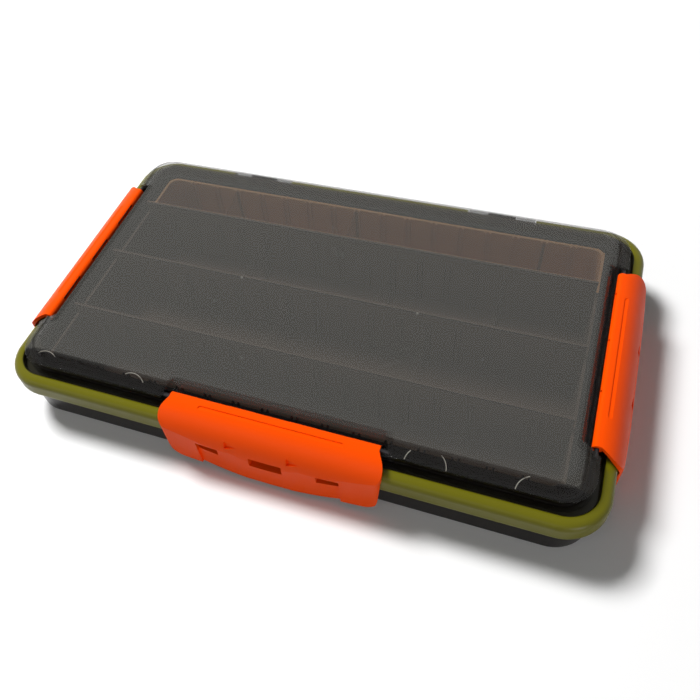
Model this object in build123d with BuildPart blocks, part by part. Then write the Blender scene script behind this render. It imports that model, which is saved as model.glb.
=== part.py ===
from build123d import *
import os

# Tackle box: a shallow smoked box with a rounded frame round its rim, a hinged lid and
# three latches. X runs along the box, the latch front is at -Y and the table is at Z = 0.
# An inset is measured inward, in plan, from the outermost line of the frame.

# Whole box
frame_length = 350.0
frame_width = 210.0
frame_corner = 24.0
wall = 2.2
running_gap = 0.3
rim_gap = 0.4

# Tray
skirt_inset = 5.2
skirt_corner = 21.0
skirt_draft = 2.3
skirt_foot_round = 1.0
shelf_height = 20.0
flange_top = 33.5
lip_height = 2.6
floor_lift = 1.0
floor_thickness = 2.4
cavity_end_inset = 25.0
cavity_side_inset = 20.7
cavity_corner = 6.0

# Long walls between the rows, and the slots for the dividers
row_count = 4
row_pitch = 48.5
row_wall = 1.8
row_wall_top = 45.3
slot_pitch = 17.7
slot_rib_width = 1.0
slot_rib_depth = 1.6
slot_clearance = 0.2
divider_thickness = 1.8
divider_height = 33.0
divider_corner = 3.0
divider_dip_length = 18.0
divider_dip_depth = 3.5

# Slots that hold a divider, row by row from the back: counted from the row's left end, or
# from its right end where the number is negative
divider_slots = {
    "back": (3, 8, -2),
    "mid_back": (5, -7, -3),
    "mid_front": (3, 7, -5),
    "front": (4, 9, -3),
}

# Frame round the rim
bead_width = 7.2
bead_top = 36.0
bead_top_round = 4.6
bead_foot_round = 5.0
bead_inner_round = 2.0
ledge_top = 32.0

# Seal ring between tray and lid
seal_inset = 14.0
seal_width = 3.0
seal_height = 3.2
seal_round = 1.1
seal_groove_depth = 0.6
seal_side_gap = 0.3

# Lid
lid_inset = 9.6
lid_corner = 17.0
lid_edge = 43.2
lid_top = 48.5
top_front_inset = 17.5
top_side_inset = 20.2
top_back_inset = 15.2
top_corner = 10.0
top_round = 1.6
rim_round = 0.9
seal_rib_width = 1.0
pocket_floor_thickness = 1.8
pocket_slope = 3.2
pocket_bevel_width = 1.6
pocket_bevel_height = 2.4
pocket_flare = 0.4
cheek = 2.6

# Latches, all three of one moulding
latch_hinge_inset = 12.4
latch_hinge_height = 42.0
latch_barrel_radius = 2.6
latch_pin_radius = 1.2
latch_pin_reach = 1.6
latch_back_gap = 1.0
latch_end_gap = 1.4
pin_clearance = 0.05
latch_proud = 5.3
latch_bulge_height = 20.0
latch_wall = 2.2
latch_bead_gap = 1.0
latch_liner_top = 30.0
latch_lean = 0.3
latch_bow = 2.6
latch_foot = 5.0
latch_foot_corner = 8.0
latch_half_length = 64.5
latch_barrel_half_length = 60.5
latch_flare_start = 10.5
latch_flare_end = 3.5
latch_flare_round = 8.0
latch_end_round = 3.6
latch_taper_top = 34.0
latch_waist = 3.0
grip_half_length = 42.0
grip_top = 26.2
grip_sag = 2.2
grip_bow = 2.6
side_latch_shift = -0.5

# Hooks behind the latch face, the windows above them and the windows in the barrel
middle_window_length = 19.3
side_window_length = 13.2
side_window_shift = 35.6
window_height = 6.6
hook_height = 4.0
barrel_window_length = 20.0
barrel_window_pitch = 35.2
barrel_window_height = 1.8
groove_length = 84.0
groove_width = 3.0
groove_depth = 1.0
groove_inset = 8.2
mark_shifts = (-23.6, 12.9)
mark_height = 31.4
mark_length = 7.6
mark_width = 4.8
mark_depth = 1.5

# Lid hinges at the back
hinge_spacing = 170.0
hinge_inset = 3.5
hinge_height = 32.5
knuckle_radius = 3.4
hinge_pin_radius = 1.25
tray_knuckle = 18.0
lid_knuckle = 12.0
knuckle_gap = 0.4
hinge_side_gap = 0.8

# Worked out from the sizes above
box_shift = latch_proud / 2
lid_bottom = ledge_top + running_gap
lip_top = flange_top + lip_height
floor_top = floor_lift + floor_thickness
seal_foot = flange_top - seal_groove_depth
seal_top = seal_foot + seal_height
pocket_ceiling = seal_top + running_gap
pocket_floor = pocket_ceiling + pocket_floor_thickness
row_clear = row_pitch - row_wall
slot_width = divider_thickness + 2 * slot_clearance
cavity_length = frame_length - 2 * cavity_end_inset
cavity_width = frame_width - 2 * cavity_side_inset
slot_count = 2 * int((cavity_length / 2 - slot_width) / slot_pitch + 0.5)
hinge_length = tray_knuckle + 2 * lid_knuckle + 2 * knuckle_gap
hinge_axis_y = frame_width / 2 - hinge_inset
pocket_half_length = latch_barrel_half_length + latch_end_gap
pocket_foot = latch_hinge_inset + latch_barrel_radius + latch_back_gap
pocket_back = pocket_foot + pocket_slope
neck_inset = lid_inset + wall + rim_gap
ground = Plane(origin=(0, box_shift, 0))


def outline(inset, corner, mode=Mode.ADD):
    """Rounded plan outline of the box at an inset from the frame's outermost line."""
    RectangleRounded(frame_length - 2 * inset, frame_width - 2 * inset, corner, mode=mode)


def rim_outline(inset, mode=Mode.ADD):
    """Plan outline that keeps an even distance from the lid's rim, round its corners too."""
    outline(inset, lid_corner + lid_inset - inset, mode=mode)


def across(x):
    """Plane square to X, with the box's width across it and the height up it."""
    return Plane(origin=(x, box_shift, 0), x_dir=(0, 1, 0), z_dir=(1, 0, 0))


def latch_site(side):
    """Plane on the table at the middle of one latch, with the outside at its -Y."""
    if side == "front":
        return Plane(origin=(0, box_shift - frame_width / 2, 0), x_dir=(1, 0, 0), z_dir=(0, 0, 1))
    sign = 1 if side == "right" else -1
    centre = (sign * frame_length / 2, box_shift + side_latch_shift, 0)
    return Plane(origin=centre, x_dir=(0, sign, 0), z_dir=(0, 0, 1))


def latch_section(site):
    """Plane square to a latch's length: outward from the frame across it, height up it."""
    return Plane(origin=site.origin, x_dir=-site.y_dir, z_dir=-site.x_dir)


def latch_front(site):
    """Plane that faces a latch from outside: length across it, height up it."""
    return Plane(origin=site.origin, x_dir=site.x_dir, z_dir=-site.y_dir)


hinge_planes = [across(-hinge_spacing / 2), across(hinge_spacing / 2)]

# Tray: skirt, neck and flange as one hollow rim, with the compartments hung inside it
with BuildPart() as base_tray:
    with BuildSketch(ground):
        outline(skirt_inset, skirt_corner)
    extrude(amount=shelf_height, taper=-skirt_draft)
    fillet(base_tray.edges().group_by(Axis.Z)[0], skirt_foot_round)
    with BuildSketch(ground.offset(shelf_height)):
        rim_outline(neck_inset)
    extrude(amount=flange_top - shelf_height)
    with BuildSketch(ground):
        outline(skirt_inset + wall, skirt_corner - wall)
    extrude(amount=shelf_height - wall, taper=-skirt_draft, mode=Mode.SUBTRACT)
    with BuildSketch(ground.offset(shelf_height - wall)):
        rim_outline(neck_inset + wall)
    extrude(amount=flange_top - shelf_height, mode=Mode.SUBTRACT)
    with BuildSketch(ground.offset(floor_lift)):
        RectangleRounded(cavity_length + 2 * wall, cavity_width + 2 * wall, cavity_corner + wall)
    extrude(amount=lip_top - floor_lift)
    with BuildSketch(ground.offset(floor_top)):
        RectangleRounded(cavity_length, cavity_width, cavity_corner)
    extrude(amount=lip_top - floor_top, mode=Mode.SUBTRACT)

    # Groove for the seal ring in the flange
    with BuildSketch(ground.offset(flange_top)):
        rim_outline(seal_inset - seal_side_gap)
        rim_outline(seal_inset + seal_width + seal_side_gap, mode=Mode.SUBTRACT)
    extrude(amount=-seal_groove_depth, mode=Mode.SUBTRACT)

    # Middle knuckle of each hinge, on a lug that reaches out under the lid's rim
    lug_root = frame_width / 2 - neck_inset - wall / 2
    lug_top = lid_bottom - running_gap
    lug_foot = hinge_height - knuckle_radius
    with BuildSketch(*hinge_planes):
        with Locations((hinge_axis_y, hinge_height)):
            Circle(knuckle_radius)
        with Locations((lug_root, lug_foot)):
            Rectangle(hinge_axis_y - lug_root, lug_top - lug_foot, align=(Align.MIN, Align.MIN))
    extrude(amount=tray_knuckle / 2, both=True)
    with BuildSketch(*hinge_planes):
        with Locations((hinge_axis_y, hinge_height)):
            Circle(hinge_pin_radius + pin_clearance)
    extrude(amount=tray_knuckle, both=True, mode=Mode.SUBTRACT)

    # Long walls between the rows
    with BuildSketch(ground.offset(floor_top)):
        with GridLocations(1, row_pitch, 1, row_count - 1):
            Rectangle(cavity_length, row_wall)
    extrude(amount=row_wall_top - floor_top)

    # Slot ribs on both faces of each long wall and on the front and back of the cavity
    rib_step = slot_width + slot_rib_width
    with BuildSketch(ground.offset(floor_top)):
        with GridLocations(slot_pitch, row_pitch, slot_count, row_count - 1):
            with GridLocations(rib_step, 1, 2, 1):
                Rectangle(slot_rib_width, row_wall + 2 * slot_rib_depth)
        with GridLocations(slot_pitch, cavity_width, slot_count, 2):
            with GridLocations(rib_step, 1, 2, 1):
                Rectangle(slot_rib_width, 2 * slot_rib_depth)
    extrude(amount=divider_height)

# Frame: a rounded bead outside the lid's rim, with a ledge under the lid and hinge notches
with BuildPart() as bead_frame:
    with BuildSketch(ground.offset(shelf_height)):
        outline(0, frame_corner)
    extrude(amount=bead_top - shelf_height)
    fillet(bead_frame.edges().group_by(Axis.Z)[-1], bead_top_round)
    fillet(bead_frame.edges().group_by(Axis.Z)[0], bead_foot_round)
    with BuildSketch(ground.offset(ledge_top)):
        outline(bead_width, frame_corner - bead_width)
    extrude(amount=bead_top - ledge_top, mode=Mode.SUBTRACT)
    fillet(bead_frame.edges().group_by(Axis.Z)[-1], bead_inner_round)
    with BuildSketch(ground.offset(shelf_height)):
        rim_outline(neck_inset)
    extrude(amount=bead_top - shelf_height, mode=Mode.SUBTRACT)
    with BuildSketch(ground.offset(lug_foot)):
        with Locations((-hinge_spacing / 2, hinge_axis_y), (hinge_spacing / 2, hinge_axis_y)):
            Rectangle(hinge_length + 2 * hinge_side_gap, 2 * (neck_inset + hinge_inset))
    extrude(amount=bead_top - lug_foot, mode=Mode.SUBTRACT)

# Seal ring: rubber, lying in the flange's groove
with BuildPart() as seal_ring:
    with BuildSketch(ground.offset(seal_foot)):
        rim_outline(seal_inset)
        rim_outline(seal_inset + seal_width, mode=Mode.SUBTRACT)
    extrude(amount=seal_height)
    fillet(seal_ring.edges().group_by(Axis.Z)[-1], seal_round)

# Outer form of the lid: an upright rim and a sloped border up to the flat top
top_length = frame_length - 2 * top_side_inset
top_width = frame_width - top_front_inset - top_back_inset
top_shift = (top_front_inset - top_back_inset) / 2
with BuildPart() as lid_form:
    with BuildSketch(ground.offset(lid_bottom)):
        rim_outline(lid_inset)
    extrude(amount=lid_edge - lid_bottom)
    with BuildSketch(ground.offset(lid_edge)):
        rim_outline(lid_inset)
    with BuildSketch(ground.offset(lid_top)):
        with Locations((0, top_shift)):
            RectangleRounded(top_length, top_width, top_corner)
    loft()
    fillet(lid_form.edges().group_by(Axis.Z)[-1], top_round)
    rim_edges = lid_form.edges().filter_by_position(Axis.Z, lid_edge, lid_edge)
    fillet(rim_edges, rim_round)


def pocket_plan(back, back_wall=0, end_wall=0):
    """Plan of a latch pocket in its site, from its back wall, or behind it, past the frame."""
    reach = back + back_wall
    rim = lid_inset - running_gap
    half_back = pocket_half_length + end_wall + (pocket_back - back) * pocket_flare
    half_front = half_back + (reach - rim) * pocket_flare
    corners = [(-half_back, reach), (-half_front, rim), (-half_front, -wall)]
    Polygon(*corners, *[(-x, y) for x, y in reversed(corners)], align=None)


# Pocket walls, trimmed to the lid's outer form, and the hollows they stand round
pocket_sites = [latch_site(side) for side in ("front", "left", "right")]
bevel_foot = lid_top - pocket_bevel_height
with BuildPart() as pocket_walls:
    for site in pocket_sites:
        with BuildSketch(site.offset(pocket_ceiling)):
            pocket_plan(pocket_foot, wall, cheek)
        with BuildSketch(site.offset(lid_top)):
            pocket_plan(pocket_back + pocket_bevel_width, wall, cheek)
        loft()
    add(lid_form.part, mode=Mode.INTERSECT)

with BuildPart() as pocket_hollows:
    for site in pocket_sites:
        with BuildSketch(site.offset(pocket_floor)):
            pocket_plan(pocket_foot)
        with BuildSketch(site.offset(bevel_foot)):
            pocket_plan(pocket_back)
        loft()
        with BuildSketch(site.offset(bevel_foot)):
            pocket_plan(pocket_back)
        with BuildSketch(site.offset(lid_top)):
            pocket_plan(pocket_back + pocket_bevel_width)
        loft()

# Lid: a shell of that form, with floored pockets for the latches and knuckles at the back
with BuildPart() as lid:
    add(lid_form.part)
    with BuildSketch(ground.offset(lid_bottom)):
        rim_outline(lid_inset + wall)
    extrude(amount=lid_edge - wall / 2 - lid_bottom, mode=Mode.SUBTRACT)
    with BuildSketch(ground.offset(lid_edge - wall / 2)):
        rim_outline(lid_inset + wall)
    with BuildSketch(ground.offset(lid_top - wall)):
        with Locations((0, top_shift)):
            RectangleRounded(top_length - wall, top_width - wall, top_corner)
    loft(mode=Mode.SUBTRACT)

    # Rib that presses on the seal ring
    rib_inset = seal_inset + (seal_width - seal_rib_width) / 2
    with BuildSketch(ground.offset(pocket_ceiling)):
        rim_outline(rib_inset)
        rim_outline(rib_inset + seal_rib_width, mode=Mode.SUBTRACT)
    extrude(amount=lid_top - wall / 2 - pocket_ceiling)

    # Pockets, and the holes in their cheeks for the latch pins
    add(pocket_walls.part)
    add(pocket_hollows.part, mode=Mode.SUBTRACT)
    with BuildSketch(*[latch_section(site) for site in pocket_sites]):
        with Locations((-latch_hinge_inset, latch_hinge_height)):
            Circle(latch_pin_radius + pin_clearance)
    extrude(amount=pocket_half_length + cheek + latch_pin_reach, both=True, mode=Mode.SUBTRACT)

    # Outer knuckles of each hinge, on arms from the rim
    arm_root = frame_width / 2 - lid_inset - wall / 2
    arm_top = hinge_height + knuckle_radius
    knuckle_shift = (tray_knuckle + lid_knuckle) / 2 + knuckle_gap
    knuckle_planes = [plane.offset(step) for plane in hinge_planes
                      for step in (-knuckle_shift, knuckle_shift)]
    with BuildSketch(*knuckle_planes):
        with Locations((hinge_axis_y, hinge_height)):
            Circle(knuckle_radius)
        with Locations((arm_root, lid_bottom)):
            Rectangle(hinge_axis_y - arm_root, arm_top - lid_bottom, align=(Align.MIN, Align.MIN))
    extrude(amount=lid_knuckle / 2, both=True)
    with BuildSketch(*knuckle_planes):
        with Locations((hinge_axis_y, hinge_height)):
            Circle(hinge_pin_radius + pin_clearance)
    extrude(amount=lid_knuckle, both=True, mode=Mode.SUBTRACT)


def latch_on(site):
    """One latch at its site: barrel, rounded shell, hooks, windows, grip and pressed marks."""
    barrel_centre = (-latch_hinge_inset, latch_hinge_height)
    barrel_top = latch_hinge_height + latch_barrel_radius
    shell_reach = latch_proud + latch_hinge_inset
    shell_rise = barrel_top - latch_bulge_height
    low_edge = latch_foot - grip_sag
    window_foot = grip_top - window_height
    inner_face = latch_proud - latch_wall

    # The flare's round is limited by the straight side between it and the end's round
    flare_run = abs(latch_half_length - latch_barrel_half_length)
    flare_rise = latch_flare_start - latch_flare_end
    flare_tangent = flare_run / (flare_rise + (flare_rise ** 2 + flare_run ** 2) ** 0.5)
    side_left = latch_proud - latch_bow + latch_flare_end - latch_end_round
    flare_round = min(latch_flare_round, side_left / flare_tangent)

    def shell_line(inward):
        """Line of the shell from the foot, over the bulge and the crest, to the barrel's top."""
        face = latch_proud - inward
        Line((face - latch_lean, low_edge), (face, latch_bulge_height))
        EllipticalCenterArc((-latch_hinge_inset, latch_bulge_height), shell_reach - inward,
                            shell_rise - inward, start_angle=0, arc_size=90)

    with BuildPart() as latch:
        with BuildSketch(latch_section(site)):
            with BuildLine():
                shell_line(0)
                shell_line(latch_wall)
                Line((-latch_hinge_inset, barrel_top), (-latch_hinge_inset, barrel_top - latch_wall))
                Line((inner_face - latch_lean, low_edge), (latch_proud - latch_lean, low_edge))
            make_face()
            with Locations((latch_bead_gap, low_edge)):
                Rectangle(inner_face - latch_bead_gap, latch_liner_top - low_edge,
                          align=(Align.MIN, Align.MIN))
            with Locations(barrel_centre):
                Circle(latch_barrel_radius)
        extrude(amount=latch_half_length, both=True)

        # Hooks on the inner side, each under its window
        windows = [(-side_window_shift, side_window_length), (0, middle_window_length),
                   (side_window_shift, side_window_length)]
        hook_foot = window_foot - hook_height
        with BuildSketch(latch_front(site).offset(running_gap)):
            for shift, length in windows:
                with Locations((shift, hook_foot)):
                    Rectangle(length, hook_height, align=(Align.CENTER, Align.MIN))
        extrude(amount=inner_face)

        # Plan: narrow at the barrel, flared to the full length at the bulge, bowed outside
        with BuildSketch(site) as plan:
            with BuildLine():
                half = [(latch_half_length, latch_bow - latch_proud),
                        (latch_half_length, latch_flare_end),
                        (latch_barrel_half_length, latch_flare_start),
                        (latch_barrel_half_length, latch_hinge_inset + 2 * latch_barrel_radius)]
                left = [(-x, y) for x, y in half]
                Polyline(*half, *reversed(left))
                ThreePointArc(left[0], (0, -latch_proud), half[0])
            make_face()
            fillet(plan.vertices().group_by(Axis.Y)[0], latch_end_round)
            fillet(plan.vertices().group_by(Axis.Y)[-3], flare_round)
        extrude(amount=barrel_top, mode=Mode.INTERSECT)

        # Seen from the front: drawn in and rounded at the foot, with the grip's edge sagging
        with BuildSketch(latch_front(site).offset(-2 * latch_hinge_inset)) as front:
            with BuildLine():
                foot_half = latch_half_length - latch_waist
                half = [(grip_half_length, latch_foot), (foot_half, latch_foot),
                        (latch_half_length, latch_taper_top), (latch_half_length, barrel_top)]
                left = [(-x, y) for x, y in half]
                Polyline(*half, *reversed(left))
                ThreePointArc(left[0], (0, low_edge), half[0])
            make_face()
            feet = front.vertices().group_by(Axis.Y)[0].sort_by(Axis.X)
            fillet([feet[0], feet[-1]], latch_foot_corner)
        extrude(amount=2 * latch_hinge_inset + 2 * latch_proud, mode=Mode.INTERSECT)

        # Finger grip: an upright pad, set back most at its ends, with the windows at its top
        with BuildSketch(site):
            with BuildLine():
                pad_end = grip_bow - latch_proud
                Polyline((grip_half_length, pad_end), (grip_half_length, -2 * latch_proud),
                         (-grip_half_length, -2 * latch_proud), (-grip_half_length, pad_end))
                ThreePointArc((-grip_half_length, pad_end), (0, -latch_proud),
                              (grip_half_length, pad_end))
            make_face()
        extrude(amount=grip_top, mode=Mode.SUBTRACT)
        with BuildSketch(latch_front(site)):
            for shift, length in windows:
                with Locations((shift, window_foot)):
                    Rectangle(length, window_height, align=(Align.CENTER, Align.MIN))
        extrude(amount=2 * latch_proud, mode=Mode.SUBTRACT)

        # Triangular marks on the bulge: square to it at their left side, fading to their tip
        rise = (mark_height - latch_bulge_height) / shell_rise
        mark_reach = shell_reach * (1 - rise ** 2) ** 0.5 - latch_hinge_inset
        outward = -site.y_dir * ((1 - rise ** 2) ** 0.5 / shell_reach) + Vector(0, 0, rise / shell_rise)
        ramp = site.x_dir * mark_length + outward.normalized() * mark_depth
        tips = [site.origin + site.x_dir * (shift + mark_length) - site.y_dir * mark_reach
                + Vector(0, 0, mark_height) for shift in mark_shifts]
        mark_planes = [Plane(origin=tip, x_dir=ramp, z_dir=ramp.cross(outward.cross(site.x_dir)))
                       for tip in tips]
        with BuildSketch(*mark_planes):
            Polygon((0, 0), (-mark_length, mark_width / 2), (-mark_length, -mark_width / 2), align=None)
        extrude(amount=latch_proud, mode=Mode.SUBTRACT)

        # Shallow groove along the crest's top
        with BuildSketch(site.offset(barrel_top)):
            with Locations((0, groove_inset)):
                SlotOverall(groove_length, groove_width)
        extrude(amount=-groove_depth, mode=Mode.SUBTRACT)

        # Bore for the pin, and the windows in the barrel's inner side
        with BuildSketch(latch_section(site)):
            with Locations(barrel_centre):
                Circle(latch_pin_radius + pin_clearance)
        extrude(amount=latch_half_length, both=True, mode=Mode.SUBTRACT)
        with BuildSketch(latch_front(site).offset(-latch_hinge_inset)):
            with Locations((0, latch_hinge_height + barrel_window_height / 2)):
                with GridLocations(barrel_window_pitch, 1, len(windows), 1):
                    Rectangle(barrel_window_length, barrel_window_height)
        extrude(amount=-2 * latch_barrel_radius, mode=Mode.SUBTRACT)
    return latch


def latch_pin_on(site):
    """Steel pin through one latch's barrel, held in the pocket's two cheeks."""
    with BuildPart() as pin:
        with BuildSketch(latch_section(site)):
            with Locations((-latch_hinge_inset, latch_hinge_height)):
                Circle(latch_pin_radius)
        extrude(amount=pocket_half_length + cheek + latch_pin_reach - pin_clearance, both=True)
    return pin


def hinge_pin_at(x):
    """Steel pin through the three knuckles of one lid hinge."""
    with BuildPart() as pin:
        with BuildSketch(across(x)):
            with Locations((hinge_axis_y, hinge_height)):
                Circle(hinge_pin_radius)
        extrude(amount=hinge_length / 2, both=True)
    return pin


front_latch = latch_on(latch_site("front"))
left_latch = latch_on(latch_site("left"))
right_latch = latch_on(latch_site("right"))
front_latch_pin = latch_pin_on(latch_site("front"))
left_latch_pin = latch_pin_on(latch_site("left"))
right_latch_pin = latch_pin_on(latch_site("right"))
left_hinge_pin = hinge_pin_at(-hinge_spacing / 2)
right_hinge_pin = hinge_pin_at(hinge_spacing / 2)


def divider_at(slot, row_centre, clear):
    """Removable divider standing in a numbered slot of a row of the given clear width."""
    span = clear - 2 * slot_clearance
    place = slot % (slot_count + 1) - (slot_count + 1) / 2
    with BuildPart() as divider:
        with BuildSketch(across(place * slot_pitch)) as plate:
            with Locations((row_centre, floor_top)):
                Rectangle(span, divider_height, align=(Align.CENTER, Align.MIN))
            fillet(plate.vertices().group_by(Axis.Y)[-1], divider_corner)
            with Locations((row_centre, floor_top + divider_height)):
                SlotOverall(divider_dip_length, 2 * divider_dip_depth, mode=Mode.SUBTRACT)
        extrude(amount=divider_thickness / 2, both=True)
    return divider


outer_clear = cavity_width / 2 - row_pitch - row_wall / 2
outer_centre = (cavity_width / 2 + row_pitch + row_wall / 2) / 2
rows = {
    "back": (outer_centre, outer_clear),
    "mid_back": (row_pitch / 2, row_clear),
    "mid_front": (-row_pitch / 2, row_clear),
    "front": (-outer_centre, outer_clear),
}

os.makedirs("parts", exist_ok=True)

base_tray.part.label = "base_tray"
export_step(base_tray.part, "parts/base_tray.step")
bead_frame.part.label = "bead_frame"
export_step(bead_frame.part, "parts/bead_frame.step")
seal_ring.part.label = "seal_ring"
export_step(seal_ring.part, "parts/seal_ring.step")
lid.part.label = "lid"
export_step(lid.part, "parts/lid.step")
front_latch.part.label = "front_latch"
export_step(front_latch.part, "parts/front_latch.step")
left_latch.part.label = "left_latch"
export_step(left_latch.part, "parts/left_latch.step")
right_latch.part.label = "right_latch"
export_step(right_latch.part, "parts/right_latch.step")
front_latch_pin.part.label = "front_latch_pin"
export_step(front_latch_pin.part, "parts/front_latch_pin.step")
left_latch_pin.part.label = "left_latch_pin"
export_step(left_latch_pin.part, "parts/left_latch_pin.step")
right_latch_pin.part.label = "right_latch_pin"
export_step(right_latch_pin.part, "parts/right_latch_pin.step")
left_hinge_pin.part.label = "left_hinge_pin"
export_step(left_hinge_pin.part, "parts/left_hinge_pin.step")
right_hinge_pin.part.label = "right_hinge_pin"
export_step(right_hinge_pin.part, "parts/right_hinge_pin.step")

for row, slots in divider_slots.items():
    row_centre, clear = rows[row]
    for number, slot in enumerate(slots, start=1):
        divider = divider_at(slot, row_centre, clear)
        divider.part.label = f"divider_{row}_{number}"
        export_step(divider.part, f"parts/{divider.part.label}.step")
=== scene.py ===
import math

import bpy
from bpy.props import FloatProperty, FloatVectorProperty, PointerProperty
from mathutils import Matrix, Vector


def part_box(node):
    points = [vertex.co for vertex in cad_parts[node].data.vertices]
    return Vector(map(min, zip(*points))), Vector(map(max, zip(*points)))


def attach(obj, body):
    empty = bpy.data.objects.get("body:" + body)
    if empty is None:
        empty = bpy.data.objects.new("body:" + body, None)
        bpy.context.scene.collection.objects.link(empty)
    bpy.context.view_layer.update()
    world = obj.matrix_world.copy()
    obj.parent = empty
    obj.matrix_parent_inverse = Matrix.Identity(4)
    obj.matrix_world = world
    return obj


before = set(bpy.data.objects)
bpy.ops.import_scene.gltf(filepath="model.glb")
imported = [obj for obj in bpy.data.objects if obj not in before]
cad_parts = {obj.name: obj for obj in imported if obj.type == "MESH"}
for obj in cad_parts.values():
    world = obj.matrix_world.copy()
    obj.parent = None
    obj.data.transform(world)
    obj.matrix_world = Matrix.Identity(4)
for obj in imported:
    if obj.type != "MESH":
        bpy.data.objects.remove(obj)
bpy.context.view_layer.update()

bl_info = {
    "name": "Tackle Box",
    "version": (1, 0, 0),
    "blender": (4, 5, 0),
    "location": "View3D > Sidebar > Tackle Box",
    "description": "Dresses a flat smoked tackle box with its finishes, mould marks and studio",
    "category": "Object",
}

# Sizes of the moulded pieces in millimetres, from their solids
MM = 0.001
CAVITY_SKIRT = 19.0
FLOOR_TOP = 3.0
BACK_ROW = 47.0
WALL_TOP = 1.0
RIM_EDGE = 43.2
RIM_ROUND = 0.2
BORDER_RISE = 5.3
BORDER_RUN = 7.9
LID_WALL = 2.2
LEDGE_INSET = 6.4
FRAME_CORNER = 24.0

# Arcs on the lid's front border: place of the circle's middle along the rim's edge in
# millimetres, and where the arc starts and ends on the circle in degrees
BORDER_ARCS = (
    (-143.5, -41, 41),
    (-85.5, -35, 55),
    (82.3, -85, -48),
    (86.3, 34, 88),
    (137.4, -87, -22),
)
ARC_STEPS = 24
WIRE_SIDES = 10

# Gate stubs under the lid's top, in millimetres
GATE_REACH = 55.7
GATE_LINE = 0.65
GATE_SIDES = 24

# Camera of the photograph: place in millimetres, axes, and the picture's middle in pixels
CAMERA_PLACE = (120.83, -267.86, 369.92)
CAMERA_RIGHT = (0.93556, 0.33968, -0.09665)
CAMERA_DOWN = (0.21477, -0.76448, -0.60782)
CAMERA_AHEAD = (-0.28035, 0.5479, -0.78817)
PICTURE = 700
PICTURE_MIDDLE = (310.65, 352.09)
SENSOR = 36.0

# Floor in metres, and how far from the object it goes over into the backdrop
FLOOR_SIZE = 12.0
FADE_START = 0.6
FADE_END = 1.3


def linear(code):
    """Linear colour with full alpha from an sRGB hex value such as 76761A."""
    channels = [int(code[i:i + 2], 16) / 255 for i in (0, 2, 4)]
    return [c / 12.92 if c <= 0.04045 else ((c + 0.055) / 1.055) ** 2.4 for c in channels] + [1.0]


def colour_property(name, description, code):
    """Colour setting whose default is an sRGB hex value."""
    return FloatVectorProperty(name=name, description=description, subtype="COLOR", size=4,
                               min=0.0, max=1.0, default=linear(code))


class TackleBoxFinish(bpy.types.PropertyGroup):
    """Colours of the mouldings."""
    smoke: colour_property("Smoke", "Body colour of the lid's top and border", "61605C")
    border: colour_property("Border", "Colour of the lid's border at the back and left", "66645E")
    shade: colour_property("Shade", "Colour of the lid's border at the right, in shade", "38332D")
    # Painted shade: the rim colour darkens the lid's rim, front border and pockets for the shade
    # that falls on them.
    rim: colour_property("Rim", "Colour of the lid's rim, front border and pockets", "15120F")
    skirt: colour_property("Skirt", "Colour of the tray's dark outer skirt", "14100E")
    inside: colour_property("Inside", "Brown of the tray's floor and row walls", "62544A")
    # Painted light: the glow colour makes the back row lighter brown for light shining through the
    # tray's back wall.
    glow: colour_property("Glow", "Light brown of the back row, lit from behind", "C4966C")
    olive: colour_property("Olive", "Colour of the frame round the rim", "67640D")
    # Partly painted shade: the ledge colour darkens the frame's inner ledge under the lid's rim
    # for the shade in that narrow groove, and partly stands for the tray's dark body showing
    # there.
    ledge: colour_property("Ledge", "Dark inner ledge of the frame, under the lid's rim", "1A1809")
    orange: colour_property("Orange", "Colour of the latches", "FF5000")
    lid_cover: FloatProperty(
        name="Lid cover", description="How much one face of the lid hides",
        default=0.34, min=0.0, max=1.0, subtype="FACTOR")
    divider_cover: FloatProperty(
        name="Divider cover", description="How much one face of a divider hides",
        default=0.04, min=0.0, max=1.0, subtype="FACTOR")


class TackleBoxMarks(bpy.types.PropertyGroup):
    """Sizes of the lid's mould marks, in metres."""
    arc_radius: FloatProperty(
        name="Arc radius", description="Radius of the arcs on the front border",
        default=0.0087, min=0.001, unit="LENGTH")
    arc_wire: FloatProperty(
        name="Arc wire", description="Half the width of an arc's ridge",
        default=0.00022, min=0.0001, unit="LENGTH")
    gate_radius: FloatProperty(
        name="Gate radius", description="Radius of a gate stub under the lid",
        default=0.0008, min=0.0001, unit="LENGTH")
    pale: colour_property("Pale", "Colour of the marks, stressed pale by the mould", "98948A")


class TackleBoxStudio(bpy.types.PropertyGroup):
    """Camera and light."""
    lens: FloatProperty(
        name="Lens", description="Focal length in millimetres", default=37.49, min=10.0)
    floor: colour_property("Floor", "Colour of the floor and the backdrop", "FFFFFF")
    bounce: FloatProperty(
        name="Bounce", description="Share of light that the floor throws back",
        default=0.2, min=0.0, max=1.0, subtype="FACTOR")
    sky: FloatProperty(
        name="Sky", description="Strength of the even light from all round",
        default=0.1, min=0.0)
    key: FloatProperty(
        name="Key", description="Power of the lamp behind and left, in watts",
        default=74.0, min=0.0)
    fill: FloatProperty(
        name="Fill", description="Power of the low lamp in front, in watts",
        default=6.0, min=0.0)
    edge: FloatProperty(
        name="Edge", description="Power of the long lamp along the front, in watts",
        default=5.0, min=0.0)


def add_node(tree, kind, settings=None, links=None):
    """Adds a node, sets its properties and inputs by name, and links sockets to its inputs."""
    node = tree.nodes.new(kind)
    for key, value in (settings or {}).items():
        if hasattr(node, key):
            setattr(node, key, value)
        else:
            node.inputs[key].default_value = value
    for key, socket in (links or {}).items():
        tree.links.new(socket, node.inputs[key])
    return node


def new_material(name):
    """Empty node material."""
    material = bpy.data.materials.new(name)
    material.use_nodes = True
    material.node_tree.nodes.clear()
    return material


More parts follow.
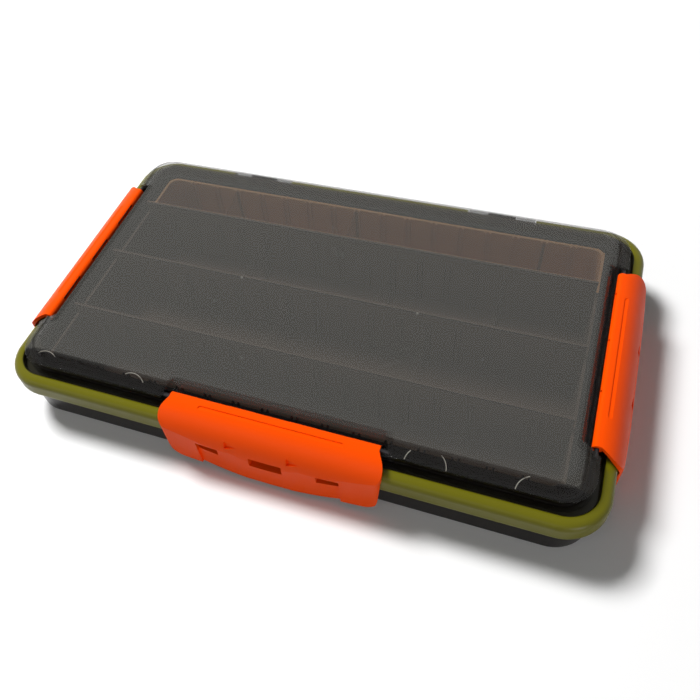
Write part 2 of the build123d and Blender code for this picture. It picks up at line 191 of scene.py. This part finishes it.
def finish_material(material, settings, links=None):
    """Gives a material its Principled shader and output."""
    tree = material.node_tree
    shader = add_node(tree, "ShaderNodeBsdfPrincipled", settings, links)
    add_node(tree, "ShaderNodeOutputMaterial", {}, {"Surface": shader.outputs["BSDF"]})
    return material


def object_coordinates(tree):
    """Place on the piece in metres, in the frame that every piece shares."""
    return add_node(tree, "ShaderNodeTexCoord").outputs["Object"]


def spread(tree, value, low, high, from_low=0.0, from_high=1.0):
    """Maps a value from one range to another."""
    return add_node(tree, "ShaderNodeMapRange", {
        "From Min": from_low, "From Max": from_high, "To Min": low, "To Max": high,
    }, {"Value": value}).outputs["Result"]


def grain(tree, size, detail=2.0):
    """Even noise whose features are about the given size, in millimetres."""
    noise = add_node(tree, "ShaderNodeTexNoise", {"Scale": 1 / (size * MM), "Detail": detail},
                     {"Vector": object_coordinates(tree)})
    return noise.outputs["Fac"]


def relief(tree, height, depth):
    """Bump normal of a pattern, its depth given in millimetres."""
    return add_node(tree, "ShaderNodeBump", {"Distance": depth * MM, "Strength": 1.0},
                    {"Height": height}).outputs["Normal"]


def within(tree, low, high):
    """One inside an upright box of the given corners, zero outside it."""
    axes = add_node(tree, "ShaderNodeSeparateXYZ", {}, {"Vector": object_coordinates(tree)})
    mask = None
    for axis, start, end in zip("XYZ", low, high):
        near = add_node(tree, "ShaderNodeMath", {"operation": "COMPARE"})
        tree.links.new(axes.outputs[axis], near.inputs[0])
        near.inputs[1].default_value = (start + end) / 2
        near.inputs[2].default_value = (end - start) / 2
        if mask:
            both = add_node(tree, "ShaderNodeMath", {"operation": "MULTIPLY"})
            tree.links.new(mask, both.inputs[0])
            tree.links.new(near.outputs["Value"], both.inputs[1])
            near = both
        mask = near.outputs["Value"]
    return mask


def inside_outline(tree, low, high, corner, inset):
    """One inside a box's rounded plan outline, moved inward, and zero outside it."""
    centre = (low + high) / 2
    reach = (high - low) / 2 - Vector((corner, corner, 0))
    vector = object_coordinates(tree)
    for operation, operand in (("SUBTRACT", centre), ("ABSOLUTE", None),
                               ("SUBTRACT", Vector((reach.x, reach.y, 1))), ("MAXIMUM", Vector())):
        node = add_node(tree, "ShaderNodeVectorMath", {"operation": operation})
        tree.links.new(vector, node.inputs[0])
        if operand is not None:
            node.inputs[1].default_value = operand
        vector = node.outputs["Vector"]
    length = add_node(tree, "ShaderNodeVectorMath", {"operation": "LENGTH"})
    tree.links.new(vector, length.inputs[0])
    below = add_node(tree, "ShaderNodeMath", {"operation": "LESS_THAN"})
    tree.links.new(length.outputs["Value"], below.inputs[0])
    below.inputs[1].default_value = corner - inset
    return below.outputs["Value"]


def blended(tree, mask, outer, inner):
    """Colour that goes from outer to inner where the mask goes from zero to one."""
    mix = add_node(tree, "ShaderNodeMix", {"data_type": "RGBA"})
    tree.links.new(mask, mix.inputs["Factor"])
    for name, colour in (("A", outer), ("B", inner)):
        socket = [entry for entry in mix.inputs if entry.name == name and entry.type == "RGBA"][0]
        if isinstance(colour, bpy.types.NodeSocket):
            tree.links.new(colour, socket)
        else:
            socket.default_value = colour
    return [entry for entry in mix.outputs if entry.type == "RGBA"][0]


def smoked_lid():
    """Smoked polystyrene, moulded and polished: glossy, grey-brown and half see-through, with
    painted shade on its rim, front border, pockets and right border.
    """
    look = bpy.context.scene.tackle_finish
    material = new_material("smoked_polystyrene_lid")
    tree = material.node_tree
    low, high = [Vector(corner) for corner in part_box("lid")]
    run = BORDER_RUN * MM
    # Painted shade: outside the top mask the rim, front border and pocket walls take the rim
    # colour, and outside the lit mask the right border takes the shade colour.
    top = within(tree, Vector((-1, low.y + run, (RIM_EDGE + RIM_ROUND) * MM)), Vector((1, 1, 1)))
    flat = inside_outline(tree, low, high, FRAME_CORNER * MM, run)
    lit = within(tree, Vector((-1, -1, 0)), Vector((high.x - run, 1, 1)))
    smoke = blended(tree, lit, look.shade, blended(tree, flat, look.border, look.smoke))
    # Faint flow waviness of a thin moulded sheet, a few centimetres long
    return finish_material(material, {
        "Alpha": look.lid_cover, "IOR": 1.5, "Specular IOR Level": 0.3,
    }, {"Base Color": blended(tree, top, look.rim, smoke),
        "Roughness": spread(tree, grain(tree, 40.0, 0.0), 0.08, 0.14),
        "Normal": relief(tree, grain(tree, 55.0, 0.0), 0.04)})


def smoked_tray():
    """Smoked polystyrene of the tray: near black outside, brown inside, with a painted glow on the
    back row for the light that comes through its back wall.
    """
    look = bpy.context.scene.tackle_finish
    material = new_material("smoked_polystyrene_tray")
    tree = material.node_tree
    low, high = [Vector(corner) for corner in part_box("base_tray")]
    foot = low + Vector((CAVITY_SKIRT, CAVITY_SKIRT, FLOOR_TOP)) * MM
    head = high - Vector((CAVITY_SKIRT, CAVITY_SKIRT, 0)) * MM
    cavity = within(tree, foot, head)
    row_line = (low.y + high.y) / 2 + BACK_ROW * MM
    # Painted light: the back row's floor and walls take the glow colour, for light shining through
    # the back wall.
    back_row = within(tree, Vector((foot.x, row_line, foot.z)), head)
    walls = blended(tree, back_row, look.inside, look.glow)
    tops = within(tree, Vector((foot.x, foot.y, head.z - WALL_TOP * MM)), head)
    walls = blended(tree, tops, walls, look.skirt)
    return finish_material(material, {"IOR": 1.5, "Specular IOR Level": 0.25}, {
        "Base Color": blended(tree, cavity, look.skirt, walls),
        "Roughness": spread(tree, grain(tree, 30.0), 0.2, 0.3),
        "Normal": relief(tree, grain(tree, 60.0, 0.0), 0.05)})


def clear_divider():
    """Clear polystyrene of the dividers: thin, glossy and almost invisible."""
    look = bpy.context.scene.tackle_finish
    material = new_material("clear_polystyrene_divider")
    tree = material.node_tree
    # Faint flow waviness of a thin moulded sheet, about a centimetre long
    return finish_material(material, {
        "Base Color": linear("B9B3A6"), "Alpha": look.divider_cover, "IOR": 1.5,
    }, {"Roughness": spread(tree, grain(tree, 12.0), 0.12, 0.2),
        "Normal": relief(tree, grain(tree, 15.0, 0.0), 0.02)})


def olive_frame():
    """Polypropylene, moulded with a satin skin: soft highlights over a fine orange-peel."""
    look = bpy.context.scene.tackle_finish
    material = new_material("olive_polypropylene")
    tree = material.node_tree
    low, high = [Vector(corner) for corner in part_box("bead_frame")]
    # Partly painted shade: inside this outline the ledge colour darkens the groove under the lid's
    # rim, and partly stands for the tray's dark body there.
    ledge = inside_outline(tree, low, high, FRAME_CORNER * MM, LEDGE_INSET * MM)
    # Real spark-erosion grit is about 0.1 mm, drawn at 0.6 mm so that it shows
    return finish_material(material, {"IOR": 1.49, "Specular IOR Level": 0.18}, {
        "Base Color": blended(tree, ledge, look.olive, look.ledge),
        "Roughness": spread(tree, grain(tree, 12.0), 0.28, 0.4),
        "Normal": relief(tree, grain(tree, 0.6), 0.008)})


def orange_latch():
    """Polypropylene, moulded satin in a full orange: even colour with a wide, dull highlight."""
    look = bpy.context.scene.tackle_finish
    material = new_material("orange_polypropylene")
    tree = material.node_tree
    # Real spark-erosion grit is about 0.1 mm, drawn at 0.6 mm so that it shows
    return finish_material(material, {
        "Base Color": look.orange, "IOR": 1.49, "Specular IOR Level": 0.15,
    }, {"Roughness": spread(tree, grain(tree, 10.0), 0.4, 0.52),
        "Normal": relief(tree, grain(tree, 0.6), 0.01)})


def steel_pin():
    """Steel wire, drawn and oiled, with a dull sheen along it: its dark grey is painted shade,
    darker than bare steel, for the narrow gaps where its ends show.
    """
    material = new_material("drawn_steel")
    tree = material.node_tree
    return finish_material(material, {"Base Color": linear("3C3B3D"), "Metallic": 1.0}, {
        "Roughness": spread(tree, grain(tree, 1.5), 0.35, 0.5)})


def seal_rubber():
    """Silicone rubber, moulded: black and dull with a faint dusty bloom."""
    material = new_material("silicone_rubber")
    tree = material.node_tree
    return finish_material(material, {"Base Color": linear("141414")}, {
        "Roughness": spread(tree, grain(tree, 4.0), 0.5, 0.7)})


def seen_rays(tree):
    """One for the rays that see or mirror the backdrop, zero for those that only light things."""
    rays = add_node(tree, "ShaderNodeLightPath")
    seen = rays.outputs["Is Camera Ray"]
    for other in ("Is Glossy Ray", "Is Transmission Ray"):
        either = add_node(tree, "ShaderNodeMath", {"operation": "MAXIMUM"})
        tree.links.new(seen, either.inputs[0])
        tree.links.new(rays.outputs[other], either.inputs[1])
        seen = either.outputs[0]
    return seen


def give(node, material):
    """Puts one material in every slot of an object."""
    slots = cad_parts[node].data.materials
    slots.clear()
    slots.append(material)


class TACKLE_OT_finishes(bpy.types.Operator):
    """Give every carried-over piece its moulded or metal finish"""
    bl_idname = "tackle.finishes"
    bl_label = "Finishes"

    def execute(self, context):
        smoke, tray = smoked_lid(), smoked_tray()
        orange, steel, clear = orange_latch(), steel_pin(), clear_divider()
        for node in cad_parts:
            if node.endswith("_pin"):
                give(node, steel)
            elif node.endswith("_latch"):
                give(node, orange)
            elif node.startswith("divider"):
                give(node, clear)
        give("lid", smoke)
        give("base_tray", tray)
        give("bead_frame", olive_frame())
        give("seal_ring", seal_rubber())
        return {"FINISHED"}


def pale_marks():
    """The lid's own polystyrene, stressed pale where it left the mould: thin and dull."""
    material = new_material("stressed_polystyrene")
    tree = material.node_tree
    return finish_material(material, {"Base Color": bpy.context.scene.tackle_marks.pale}, {
        "Roughness": spread(tree, grain(tree, 2.0), 0.35, 0.55)})


def close_marks(piece, name, material):
    """Names a finished mark, points its faces outward, and lets it ride on the lid."""
    bpy.ops.object.mode_set(mode="EDIT")
    bpy.ops.mesh.select_all(action="SELECT")
    bpy.ops.mesh.remove_doubles(threshold=0.000001)
    bpy.ops.mesh.normals_make_consistent(inside=False)
    bpy.ops.object.mode_set(mode="OBJECT")
    bpy.ops.object.transform_apply(location=True, rotation=True, scale=True)
    bpy.ops.object.shade_smooth_by_angle(angle=math.radians(40))
    piece.name = piece.data.name = name
    piece.data.materials.append(material)
    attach(piece, "lid")


class TACKLE_OT_marks(bpy.types.Operator):
    """Add the arcs on the lid's front border and the gate stubs under its top"""
    bl_idname = "tackle.marks"
    bl_label = "Mould marks"

    def execute(self, context):
        sizes = context.scene.tackle_marks
        material = pale_marks()
        low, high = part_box("lid")
        slope = math.atan2(BORDER_RISE, BORDER_RUN)
        foot = Vector((0, low.y, RIM_EDGE * MM))
        for number, (middle, start, end) in enumerate(BORDER_ARCS, start=1):
            bpy.ops.object.select_all(action="DESELECT")
            centre = foot + Vector((middle * MM, 0, 0))
            bpy.ops.mesh.primitive_circle_add(
                vertices=WIRE_SIDES, radius=sizes.arc_wire, fill_type="NGON",
                location=centre + Vector((0, sizes.arc_radius, 0)), rotation=(0, math.pi / 2, 0))
            piece = context.object
            bpy.ops.object.mode_set(mode="EDIT")
            bpy.ops.mesh.select_all(action="SELECT")
            # With no window, transform.rotate turns the other way than spin does
            bpy.ops.transform.rotate(
                value=math.radians(start), orient_axis="Z", center_override=centre)
            bpy.ops.mesh.spin(
                steps=ARC_STEPS, angle=math.radians(end - start), center=centre, axis=(0, 0, 1))
            bpy.ops.mesh.select_all(action="SELECT")
            bpy.ops.transform.rotate(
                value=-slope, orient_axis="X", center_override=centre)
            bpy.ops.object.mode_set(mode="OBJECT")
            close_marks(piece, f"border_arc_{number}", material)
        for side in (-1, 1):
            bpy.ops.object.select_all(action="DESELECT")
            inner = high.z - LID_WALL * MM
            bpy.ops.mesh.primitive_cylinder_add(
                vertices=GATE_SIDES, radius=sizes.gate_radius, depth=sizes.gate_radius,
                location=(side * GATE_REACH * MM, GATE_LINE * MM, inner - sizes.gate_radius / 2))
            piece = context.object
            bpy.ops.object.mode_set(mode="EDIT")
            bpy.ops.mesh.select_all(action="SELECT")
            bpy.ops.mesh.bevel(offset=sizes.gate_radius / 5, segments=2)
            bpy.ops.object.mode_set(mode="OBJECT")
            close_marks(piece, f"gate_stub_{'left' if side < 0 else 'right'}", material)
        return {"FINISHED"}


class TACKLE_OT_studio(bpy.types.Operator):
    """Add the floor, the lamps and the camera at the photograph's viewing angle"""
    bl_idname = "tackle.studio"
    bl_label = "Studio"

    def execute(self, context):
        studio = context.scene.tackle_studio
        bpy.ops.object.select_all(action="DESELECT")
        bpy.ops.mesh.primitive_plane_add(size=FLOOR_SIZE)
        floor = context.object
        floor.name = "studio_floor"
        material = new_material("white_floor")
        tree = material.node_tree
        paint = add_node(tree, "ShaderNodeBsdfDiffuse")
        bounce = [channel * studio.bounce for channel in studio.floor[:3]] + [1.0]
        tree.links.new(blended(tree, seen_rays(tree), bounce, studio.floor), paint.inputs["Color"])
        # Past the object's shadow, the floor that is seen goes over into the white backdrop
        away = add_node(tree, "ShaderNodeVectorMath", {"operation": "LENGTH"})
        tree.links.new(object_coordinates(tree), away.inputs[0])
        far = spread(tree, away.outputs["Value"], 0.0, 1.0, FADE_START, FADE_END)
        share = add_node(tree, "ShaderNodeMath", {"operation": "MULTIPLY"})
        tree.links.new(far, share.inputs[0])
        tree.links.new(seen_rays(tree), share.inputs[1])
        glow = add_node(tree, "ShaderNodeEmission", {"Color": studio.floor})
        mix = add_node(tree, "ShaderNodeMixShader")
        tree.links.new(share.outputs["Value"], mix.inputs[0])
        tree.links.new(paint.outputs["BSDF"], mix.inputs[1])
        tree.links.new(glow.outputs["Emission"], mix.inputs[2])
        add_node(tree, "ShaderNodeOutputMaterial", {}, {"Surface": mix.outputs["Shader"]})
        floor.data.materials.append(material)

        # The sky is white where it is seen or mirrored, and lights the rest more gently
        world = bpy.data.worlds.new("studio_sky")
        world.use_nodes = True
        tree = world.node_tree
        sky = tree.nodes["Background"]
        sky.inputs["Color"].default_value = (1, 1, 1, 1)
        tree.links.new(spread(tree, seen_rays(tree), studio.sky, 1.0), sky.inputs["Strength"])
        context.scene.world = world

        for name, place, width, height, power in (
                ("key_lamp", (-1.31, 0.55, 2.05), 0.7, 0.7, studio.key),
                ("front_lamp", (1.15, -1.2, 0.11), 0.6, 0.2, studio.fill),
                ("edge_lamp", (-0.5, -1.5, 0.75), 2.4, 0.06, studio.edge)):
            bpy.ops.object.light_add(type="AREA", location=place)
            lamp = context.object
            lamp.name = name
            lamp.data.shape = "RECTANGLE"
            lamp.data.size = width
            lamp.data.size_y = height
            lamp.data.energy = power
            lamp.rotation_euler = (-lamp.location).to_track_quat("-Z", "Y").to_euler()
            # The lid mirrors the pale backdrop and not the lamp behind it
            lamp.visible_glossy = name != "key_lamp"

        bpy.ops.object.camera_add()
        camera = context.object
        camera.name = "photo_camera"
        right, down, ahead = [Vector(axis) for axis in (CAMERA_RIGHT, CAMERA_DOWN, CAMERA_AHEAD)]
        turn = Matrix((right, -down, -ahead)).transposed().to_4x4()
        camera.matrix_world = Matrix.Translation(Vector(CAMERA_PLACE) * MM) @ turn
        camera.data.lens = studio.lens
        camera.data.sensor_width = SENSOR
        camera.data.shift_x = 0.5 - PICTURE_MIDDLE[0] / PICTURE
        camera.data.shift_y = PICTURE_MIDDLE[1] / PICTURE - 0.5
        camera.data.clip_start = 0.01
        context.scene.camera = camera
        context.scene.view_settings.view_transform = "Standard"
        return {"FINISHED"}


class TACKLE_PT_panel(bpy.types.Panel):
    """Settings and steps of the tackle box"""
    bl_idname = "TACKLE_PT_panel"
    bl_label = "Tackle Box"
    bl_space_type = "VIEW_3D"
    bl_region_type = "UI"
    bl_category = "Tackle Box"

    def draw(self, context):
        for settings in (context.scene.tackle_finish, context.scene.tackle_marks,
                         context.scene.tackle_studio):
            for key in settings.__annotations__:
                self.layout.prop(settings, key)
        for operator in OPERATORS:
            self.layout.operator(operator.bl_idname)


OPERATORS = (TACKLE_OT_finishes, TACKLE_OT_marks, TACKLE_OT_studio)
CLASSES = (TackleBoxFinish, TackleBoxMarks, TackleBoxStudio, *OPERATORS, TACKLE_PT_panel)


def register():
    for cls in CLASSES:
        bpy.utils.register_class(cls)
    bpy.types.Scene.tackle_finish = PointerProperty(type=TackleBoxFinish)
    bpy.types.Scene.tackle_marks = PointerProperty(type=TackleBoxMarks)
    bpy.types.Scene.tackle_studio = PointerProperty(type=TackleBoxStudio)


def unregister():
    del bpy.types.Scene.tackle_studio
    del bpy.types.Scene.tackle_marks
    del bpy.types.Scene.tackle_finish
    for cls in reversed(CLASSES):
        bpy.utils.unregister_class(cls)


def main():
    register()
    bpy.ops.tackle.finishes()
    bpy.ops.tackle.marks()
    bpy.ops.tackle.studio()


if __name__ == "__main__":
    main()
